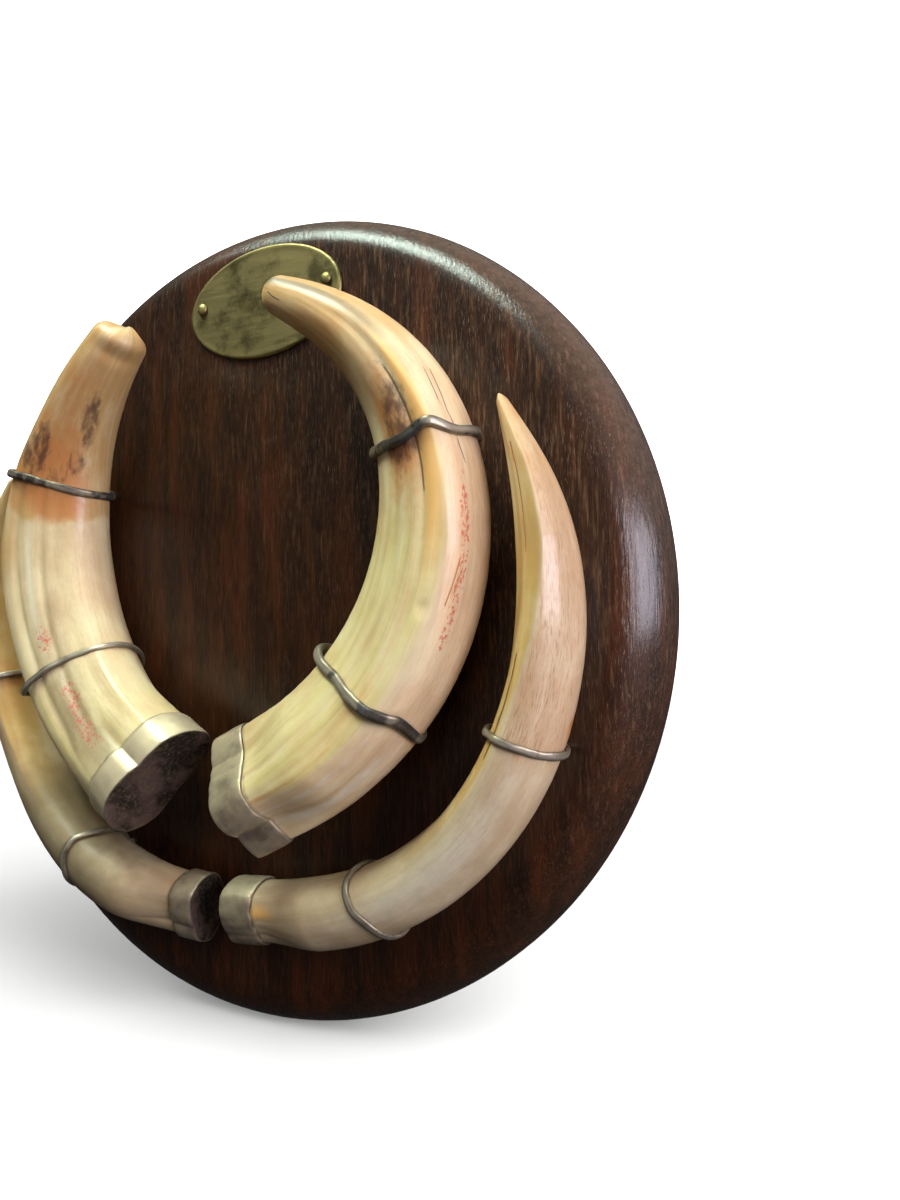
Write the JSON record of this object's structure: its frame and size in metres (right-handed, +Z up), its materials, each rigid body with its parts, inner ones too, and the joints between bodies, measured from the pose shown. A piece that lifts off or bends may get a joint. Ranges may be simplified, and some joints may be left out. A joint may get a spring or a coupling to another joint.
{
  "type": "warthog tusk trophy",
  "caption": "Round dark wooden wall board carrying mounted warthog tusks, upper and lower, with silver root caps, wire bands and a bare oval brass plate.",
  "frame": {"origin": "middle of the board's flat back, where it meets the wall", "axes": "+Z up, +Y into the wall behind the board, +X to the viewer's right"},
  "size_m": [0.3, 0.0696, 0.3],
  "materials": {
    "board_wood": "dark stained hardwood under an old satin varnish, vertical grain, worn pores showing lighter",
    "upper_tusk": "old polished ivory, cream with yellow and brown streaks, orange-brown stain and fine cracks near the tips",
    "lower_tusk": "polished ivory with fine brown fibres along its length, yellow inner face, tan towards the root",
    "cap_silver": "hand-formed sheet silver, tarnished and dented, brighter along its open edge",
    "wire_silver": "flattened silver wire, bright on its crowns and black with oxide in its pits",
    "plate_brass": "aged brass, olive brown with darker patches, rubbed brighter at its rim"
  },
  "bodies": {
    "root": {"board": "board_wood", "name_plate": "plate_brass", "plate_pin_left": "plate_brass", "plate_pin_right": "plate_brass", "tusk_upper_right": "upper_tusk", "tusk_upper_left": "upper_tusk", "tusk_lower_right": "lower_tusk", "tusk_lower_left": "lower_tusk", "cap_upper_right": "cap_silver", "cap_upper_left": "cap_silver", "cap_lower_right": "cap_silver", "cap_lower_left": "cap_silver", "band_upper_right_tip": "wire_silver", "band_upper_right_root": "wire_silver", "band_upper_left_tip": "wire_silver", "band_upper_left_root": "wire_silver", "band_lower_right_tip": "wire_silver", "band_lower_right_root": "wire_silver", "band_lower_left_tip": "wire_silver", "band_lower_left_root": "wire_silver"}
  },
  "joints": []
}
